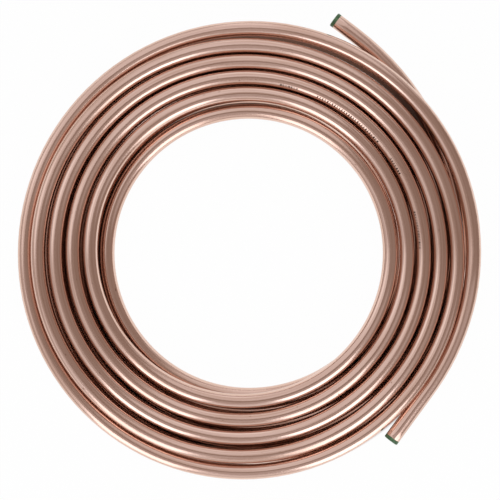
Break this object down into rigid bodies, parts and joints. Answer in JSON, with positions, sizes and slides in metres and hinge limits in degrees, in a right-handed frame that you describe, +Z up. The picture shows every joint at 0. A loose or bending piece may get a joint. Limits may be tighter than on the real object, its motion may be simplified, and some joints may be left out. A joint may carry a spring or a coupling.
{
  "type": "copper tube coil",
  "caption": "Coil of soft copper tube wound in two flat layers, with both free ends on the outside, each closed by a push-in plug.",
  "frame": {"origin": "on the floor, at the middle of the eye of the coil", "axes": "+Z up, along the axis of the coil; -Y towards the side where the upper free end points, which is the lower edge of the picture"},
  "size_m": [0.588, 0.594, 0.0401],
  "materials": {
    "copper": "satin, drawn copper",
    "plug_plastic": "moulded, dark green"
  },
  "bodies": {
    "root": {"copper_tube": "copper", "lower_end_plug": "plug_plastic", "upper_end_plug": "plug_plastic"}
  },
  "joints": []
}
